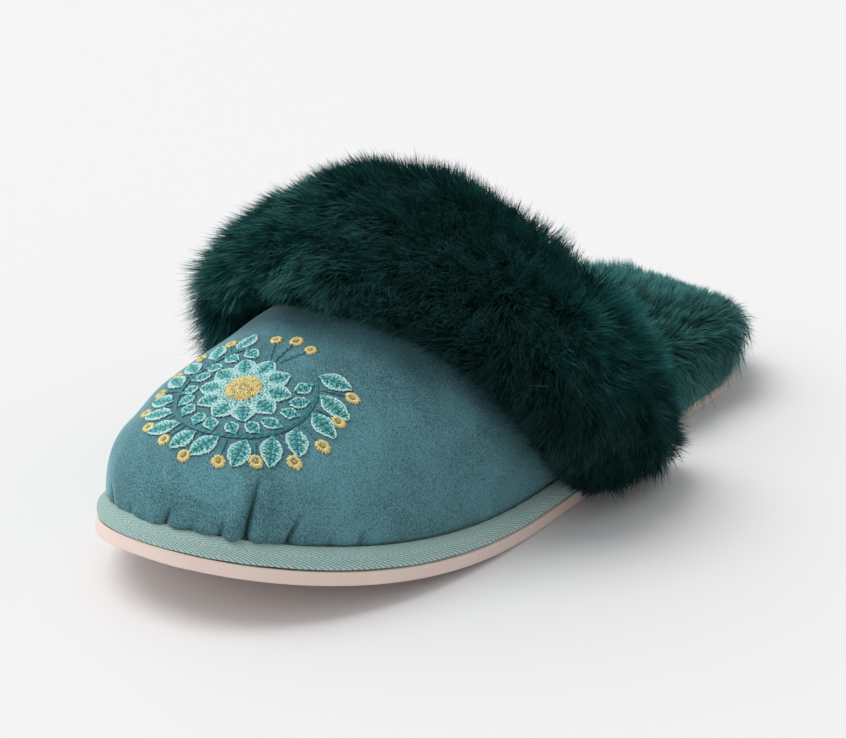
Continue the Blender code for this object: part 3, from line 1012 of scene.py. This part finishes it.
class SLIPPER_OT_vamp(bpy.types.Operator):
    """Stretch the velvet over the vamp, with puckers at the toe's seam"""

    bl_idname = "slipper.vamp"
    bl_label = "Velvet vamp"

    def execute(self, context):
        _, colours = settings()
        vamp = copy_of("upper", "velvet_vamp")
        rounded(vamp, 3)
        self.refine_toe(vamp)
        mesh = vamp.data
        points, facing = points_of(mesh), normals_of(mesh)
        heart = points * [0, 1, 0] + [TOE_CENTRE[0], 0, VAMP_HEART]
        heart[:, 1] = np.clip(points[:, 1], TOE_CENTRE[1], 0.0)
        outer = ((points - heart) * facing).sum(1) > 0
        push, crease = self.puckers(points, outer)
        slack = sum(depth * swell(points, wavelength, seed) for depth, wavelength, seed in SLACK)
        push += slack * outer * ramp(points[:, 2], 0.014, 0.01)
        level = facing * [1.0, 1.0, 0.0] + np.maximum(facing, 0) * [0.0, 0.0, 1.0]
        points += unit(level) * push[:, None]
        rows = np.clip(((points[:, 1] - FIRST_ROW) / ROW).astype(int), 0, ROWS - 1)
        lowest, known = lowest_in(rows, points[:, 2], ROWS)
        at_rows = np.arange(ROWS) * ROW + (FIRST_ROW + ROW / 2)
        height = np.maximum(points[:, 2] - np.interp(points[:, 1], at_rows[known], lowest[known]), 0)
        tuck = outer * np.exp(-height / TUCK_FADE)
        step = np.column_stack([unit(facing[:, :2]) * TUCK_OUT, np.full(len(points), TUCK_DOWN)])
        move_points(mesh, points + step * tuck[:, None])
        # Painted shade along the hem at the seam, kept with the puckers' painted shade for the velvet
        crease = np.maximum(crease, HEM_SHADE * outer * np.exp(-height / HEM_FADE))
        layer = mesh.attributes.new("crease", "FLOAT", "POINT")
        layer.data.foreach_set("value", crease.astype(np.float32))
        mesh.materials.append(velvet_finish(colours.velvet))
        mesh.materials.append(plush_finish(colours.fur))
        first = read(mesh.loops, "vertex_index")[read(mesh.polygons, "loop_start")]
        mesh.polygons.foreach_set("material_index", np.where(outer[first], 0, 1).astype(np.int32))
        mesh.shade_smooth()
        finished(vamp, "upper", "upper")
        return {"FINISHED"}

    @staticmethod
    def puckers(points, outer):
        """How far each point moves out for the puckers, and how deep in a crease it lies for its painted
        shade.
        """
        away = points[:, :2] - np.array(TOE_CENTRE)
        turn = np.degrees(np.arctan2(away[:, 0], -away[:, 1]))
        reach = np.linalg.norm(away, axis=1)
        bins = np.clip(((turn + SEAM_REACH) / SEAM_STEP).astype(int), 0, SEAM_BINS - 1)
        seam_out, seam_up = np.zeros(SEAM_BINS), np.zeros(SEAM_BINS)
        for k in range(SEAM_BINS):
            here = outer & (bins == k) & (np.abs(turn) < SEAM_REACH + 2)
            if here.any():
                low = points[here, 2].min()
                edge = here & (points[:, 2] < low + 0.004)
                seam_out[k], seam_up[k] = reach[edge].max(), low
        known = seam_out > 0
        middles = np.arange(SEAM_BINS) * SEAM_STEP - (SEAM_REACH - 1.0)
        foot = np.interp(turn, middles[known], seam_out[known])
        low = np.interp(turn, middles[known], seam_up[known])
        rise = np.hypot(points[:, 2] - low, foot - reach)
        toe = outer & (np.abs(turn) < SEAM_REACH - 2)
        push, crease = np.zeros(len(points)), np.zeros(len(points))
        for at, lean, tall, width, depth in PUCKERS:
            off = np.radians(turn - at - lean * rise * 1000) * foot
            fade = ramp(1 - rise / tall) ** 0.7 * toe
            puff = PUFF * np.exp(-((np.abs(off) - PUFF_OFF) / PUFF_WIDTH) ** 2)
            push -= depth * fade * (np.exp(-((np.abs(off) / width) ** 1.4)) - puff)
            line = np.exp(-((off / width * 1.2) ** 2))
            crease = np.maximum(crease, line * fade * min(depth / DARKEST, 1.0))
        return push, crease

    @staticmethod
    def refine_toe(vamp):
        """Smaller faces near the toe's seam, where the puckers are."""
        mesh = vamp.data
        middles, facing = read_rows(mesh.polygons, "center"), read_rows(mesh.polygons, "normal")
        away = middles - [*TOE_CENTRE, VAMP_HEART]
        outer = (away * facing).sum(1) > 0
        turn = np.degrees(np.arctan2(away[:, 0], -away[:, 1]))
        top = np.where(np.abs(turn - TALLEST_TURN) < TALLEST_REACH, TALLEST_UNDER, FINE_UNDER)
        chosen = outer & (middles[:, 1] < FINE_AHEAD) & (middles[:, 2] < top)
        mesh.polygons.foreach_set("select", chosen)
        only(vamp)
        bpy.context.tool_settings.mesh_select_mode = (False, False, True)
        bpy.ops.object.mode_set(mode="EDIT")
        bpy.ops.mesh.subdivide(number_cuts=1)
        bpy.ops.object.mode_set(mode="OBJECT")


class SLIPPER_OT_sprig(bpy.types.Operator):
    """Sew a sprig of leaves, berries and one blossom on the vamp"""

    bl_idname = "slipper.sprig"
    bl_label = "Sewn sprig"

    def execute(self, context):
        sizes, colours = settings()
        sewn = Stitches(tree_of(bpy.data.objects["velvet_vamp"]), sizes.thread, 11)
        blue, light = ("aqua", "aqua", "teal"), ("pale", "aqua")
        ring = [spoke(180 + 148 * step / 16, WREATH) for step in range(-16, 17)]
        sewn.stem(ring, "teal", rows=2)
        for number in range(PETALS):
            turn = 360 * number / PETALS
            petal = spoke(turn, PETAL_ROOT), spoke(turn, PETAL_TIP), PETAL_WIDTH
            sewn.leaf(*petal, blue, light, "pale", "teal")
        for number in range(PETALS):
            turn = 360 * (number + 0.5) / PETALS
            sepal = spoke(turn, SEPAL_ROOT), spoke(turn, SEPAL_TIP), SEPAL_WIDTH
            sewn.leaf(*sepal, light, light, "pale")
        sewn.knots((0, 0), HEART, ("gold", "gold", "straw"), 210)
        for number in range(WREATH_LEAVES):
            turn = 180 + 290 * ((number + 0.5) / WREATH_LEAVES - 0.5)
            sway = 3 * math.sin(number * 2.4)
            outer_tip = spoke(turn + 10 + sway, WREATH + OUTER_LEAF * (1 + 0.07 * math.sin(number * 1.7)))
            inner_tip = spoke(turn + 19 + sway, WREATH - INNER_LEAF)
            sewn.leaf(spoke(turn, WREATH + 0.7), outer_tip, OUTER_WIDTH, blue, light, "pale", "teal")
            sewn.leaf(spoke(turn + 8, WREATH - 0.7), inner_tip, INNER_WIDTH, blue, blue, "pale")
            if number:
                bud = spoke(turn - 3.5, BERRIES_OUT + 0.8 * math.sin(number * 2.1))
                sewn.stem([spoke(turn - 6, WREATH + 0.5), bud], "teal", rows=1)
                sewn.berry(bud, BERRY, "gold", "straw")
        for x, y, radius in SPRAY_BERRIES:
            sewn.stem([(x * 0.25, PETAL_TIP + 0.4), (x, y)], "teal", rows=1)
            sewn.berry((x, y), radius, "gold", "straw")
        finishes = {
            "pale": thread_finish("pale thread", colours.pale),
            "aqua": thread_finish("aqua thread", colours.aqua),
            "teal": thread_finish("teal thread", colours.teal),
            "gold": thread_finish("gold thread", colours.gold, 0.15, 0.34),
            "straw": thread_finish("straw thread", times(colours.gold, 0.62), 0.15, 0.40),
        }
        for colour, material in finishes.items():
            finished(sewn.piece("sprig_" + colour, colour, material), "upper")
        return {"FINISHED"}


class SLIPPER_OT_cuff(bpy.types.Operator):
    """Grow the fur of the cuff, in three coats over a soft backing"""

    bl_idname = "slipper.cuff"
    bl_label = "Fur cuff"

    def execute(self, context):
        sizes, colours = settings()
        nodes = frame["nodes"]
        vamp = tree_of(nodes["upper"])
        skin = smooth_skin("cuff", "cuff_backing", voxel=0.0022, rounds=26, pile=self.pile, beside=vamp)
        skin.data.materials.append(skin_finish(colours.fur_root_shade))
        finished(skin, "cuff", "cuff")
        clear = open_air(tree_of(nodes["upper"], nodes["binding"], nodes["outsole"]), reach=0.0011)
        for number, (name, share, *tones) in enumerate(CUFF_COATS):
            dice = np.random.default_rng(21 + number)
            at, facing = fur_roots(skin, sizes.cuff_hairs, clear, dice)
            nap, length, low, high = self.lie(at, facing, distances(vamp, at), sizes.cuff_hair * share)
            paths, shade = comb(at, facing, nap, length, low, high, dice, seed=31)
            # Painted light and shade on the cuff's hairs, from tone
            shade = np.clip(shade * self.tone(at, facing), *SHADES)
            grow(name, "cuff", tones, lift_out(paths, vamp, gap=0.0003), shade, facing, dice)
        return {"FINISHED"}

    @staticmethod
    def lie(at, facing, clear, hair):
        """Which way the hairs lie, how long they are, and how low they lie at root and tip. clear is how far
        each is from the vamp, and hair is the coat's full length."""
        (x, _, z), (right, back, up) = at.T, facing.T
        out, inner, rear = ramp(np.abs(x), 0, 0.055) ** 2, ramp(-x, 0, 0.045), ramp(back)
        foot = ramp(z, 0.005, 0.020)
        beyond = ramp(right + 0.6 * rear) * (x > 0)
        lobe = ramp(-x, 0.020, 0.020) * ramp(-back * 1.6)
        ridge = SLIPPER_OT_cuff.ridge(at, facing)
        top = ramp(up * 1.5) * ramp(x, 0, 0.02) * (z > 0.055)
        nap = np.tile([0.0, -1.0, -0.10], (len(at), 1))
        nap[:, 2] += 1.3 * rear * (1 - out) - 0.32 * out * foot
        nap[:, 0] += 0.9 * rear * np.sign(x) * out
        nap += lobe[:, None] * [-0.4, -0.2, -0.7]
        low = 0.50 - 0.14 * inner - 0.12 * rear - 0.20 * ridge
        high = 1.14 - 0.22 * inner - 0.24 * rear - 0.35 * ridge
        close = np.maximum(ramp(clear, 0, 0.008), 0.8 * lobe)
        length = hair * (1 - 0.55 * SLIPPER_OT_cuff.inside(at, facing)) * (0.50 + 0.50 * close)
        length *= (0.50 + 0.50 * np.maximum(foot, beyond)) * (1 + 0.50 * lobe + 0.32 * ridge - 0.14 * top)
        return nap, length, low, high

    @staticmethod
    def pile(at):
        """How deep the pile is: deepest where the roll turns back on the outer side."""
        return 0.0033 + 0.0028 * ramp(at[:, 0], 0, 0.03) * ramp(at[:, 2], 0.035, 0.03)

    @staticmethod
    def tone(at, facing):
        """How pale the hairs are, as painted light and shade: paler on the inner side and where they face
        the rear, palest along the roll's rear rim on the outer side, and darker where the outer side faces
        forward.
        """
        (x, _, _), (_, back, up) = at.T, facing.T
        painted_light = 1.30 * ramp(-x, 0.002, 0.04) + 0.40 * ramp(back)
        painted_shade = ramp(x, -0.012, 0.035) * ramp(0.75 - back - 0.45 * up)
        # Painted highlight along the roll's rear rim
        rim = ramp(2.2 * SLIPPER_OT_cuff.ridge(at, facing) - 0.9)
        return 1.0 + painted_light + 1.9 * rim - 0.85 * painted_shade * (1 - rim)

    @staticmethod
    def ridge(at, facing):
        """From 0 to 1, how near a place is to the roll's rear rim on the outer side."""
        x, _, z = at.T
        turned = ramp(facing @ [0.55, 0.80, 0.15]) * ramp(x, -0.01, 0.03)
        return turned * ramp(z, 0.016, 0.025) * ramp(-z, -0.078, 0.025)

    @staticmethod
    def inside(at, facing):
        """From 0 to 1, how much a place faces the foot's way in."""
        middle = at * [0, 1, 0] + [-0.001, -0.004, 0.030]
        return ramp((unit(middle - at) * facing).sum(1) * 2.0)


class SLIPPER_OT_footbed(bpy.types.Operator):
    """Grow the fur of the footbed, deep at the heel and short under the vamp"""

    bl_idname = "slipper.footbed"
    bl_label = "Fur footbed"

    def execute(self, context):
        sizes, colours = settings()
        nodes = frame["nodes"]
        platform = tree_of(nodes["binding"], nodes["midsole"], nodes["outsole"])
        skin = smooth_skin("footbed", "footbed_backing", voxel=0.0020, rounds=6, pile=self.pile,
                           beside=platform)
        skin.data.materials.append(skin_finish(colours.fur_root_shade))
        finished(skin, "footbed", "footbed")
        clear = open_air(platform, reach=0.0015)

        def wanted(at, facing):
            """Weights for triangles: fewer hairs under the vamp, more round the rim."""
            toe = 1 - 0.75 * ramp(-at[:, 1], 0.002, 0.03)
            rim = 1 + 2.6 * ramp(1.1 - facing[:, 2]) * (at[:, 1] > 0.0)
            return clear(at, facing) * (facing[:, 2] > -0.5) * toe * rim

        dice = np.random.default_rng(51)
        at, facing = fur_roots(skin, sizes.heel_hairs, wanted, dice)
        (x, y, _), up = at.T, facing[:, 2]
        side = ramp(1.05 - up * 1.2)
        heel = ramp((y - 0.010 + 0.022 * side) / 0.030)
        outer = np.maximum(ramp(x, -0.018, 0.022), 0.2)
        edge = ramp(np.maximum(np.abs(x) / 0.034, (y - 0.070) / 0.050)) ** 3 * heel
        edge *= (1 - side) * outer
        corner = ramp(y, 0.085, 0.030) * ramp(up) * outer
        nap = np.stack([x * 10.0, (y - 0.070) * 4.0 + 0.10, 0.10 - 2.2 * side - 0.5 * edge], 1)
        length = sizes.heel_hair * (0.42 + (0.58 + 0.56 * side - 0.66 * corner) * heel)
        low, high = 0.08 + 0.75 * side + 0.45 * edge, 0.50 + 1.30 * side + 1.0 * edge
        paths, shade = comb(at, facing, nap, length, low, high, dice, seed=61, wild=1.5)
        # Painted light: the footbed's hairs are paler, and palest at the edge
        shade = np.clip(shade + 0.22 + 0.15 * edge, *SHADES)
        paths = lift_out(paths, platform, gap=0.0004)
        grow("footbed_fur", "footbed", FOOTBED_TONES, paths, shade, facing, dice)
        return {"FINISHED"}

    @staticmethod
    def pile(at):
        """How deep the pile is: the same all over."""
        return np.full(len(at), 0.0010)


class SLIPPER_OT_stage(bpy.types.Operator):
    """Set the floor, the studio light and the camera"""

    bl_idname = "slipper.stage"
    bl_label = "Stage"

    def execute(self, context):
        scene = context.scene
        bpy.ops.object.select_all(action="DESELECT")
        bpy.ops.mesh.primitive_plane_add(size=FLOOR_SIZE, location=(0, 0, 0))
        floor = context.object
        floor.name = "studio_floor"
        floor.data.materials.append(floor_finish())
        world = bpy.data.worlds.new("studio")
        scene.world = world
        world.use_nodes = True
        sky = world.node_tree.nodes["Background"]
        sky.inputs["Color"].default_value = SKY_COLOUR
        sky.inputs["Strength"].default_value = SKY_STRENGTH
        for name, way, strength, angle, colour in LIGHTS:
            bpy.ops.object.light_add(type="SUN", location=way)
            light = context.object
            light.name = name
            light.data.energy = strength
            light.data.angle = math.radians(angle)
            light.data.color = colour
            light.rotation_euler = Vector(way).to_track_quat("Z", "Y").to_euler()
        bpy.ops.object.camera_add(location=CAMERA_AT)
        camera = context.object
        camera.name = "camera"
        camera.data.sensor_width = 36.0
        camera.data.lens = CAMERA_LENS
        camera.data.clip_start = 0.01
        camera.data.clip_end = 50.0
        camera.rotation_euler = (Vector(CAMERA_AIM) - camera.location).to_track_quat("-Z", "Y").to_euler()
        scene.camera = camera
        scene.view_settings.view_transform = "Standard"
        return {"FINISHED"}


class SLIPPER_PT_panel(bpy.types.Panel):
    """The slipper's sizes, colours and steps"""

    bl_idname = "SLIPPER_PT_panel"
    bl_label = "House slipper"
    bl_space_type = "VIEW_3D"
    bl_region_type = "UI"
    bl_category = "Slipper"

    def draw(self, context):
        layout = self.layout
        for group in settings():
            for name in group.bl_rna.properties.keys():
                if name not in ("rna_type", "name"):
                    layout.prop(group, name)
        for step in OPERATORS:
            layout.operator(step.bl_idname)


OPERATORS = (
    SLIPPER_OT_sole, SLIPPER_OT_tape, SLIPPER_OT_vamp, SLIPPER_OT_sprig,
    SLIPPER_OT_cuff, SLIPPER_OT_footbed, SLIPPER_OT_stage,
)
CLASSES = (SlipperSizes, SlipperColours, *OPERATORS, SLIPPER_PT_panel)


def register():
    """Add the classes and the scene's settings."""
    for item in CLASSES:
        bpy.utils.register_class(item)
    bpy.types.Scene.slipper_sizes = bpy.props.PointerProperty(type=SlipperSizes)
    bpy.types.Scene.slipper_colours = bpy.props.PointerProperty(type=SlipperColours)


def unregister():
    """Take them away again."""
    del bpy.types.Scene.slipper_colours
    del bpy.types.Scene.slipper_sizes
    for item in reversed(CLASSES):
        bpy.utils.unregister_class(item)


def main():
    """Make the whole slipper."""
    register()
    bpy.ops.slipper.sole()
    bpy.ops.slipper.tape()
    bpy.ops.slipper.vamp()
    bpy.ops.slipper.sprig()
    bpy.ops.slipper.cuff()
    bpy.ops.slipper.footbed()
    bpy.ops.slipper.stage()


if __name__ == "__main__":
    main()
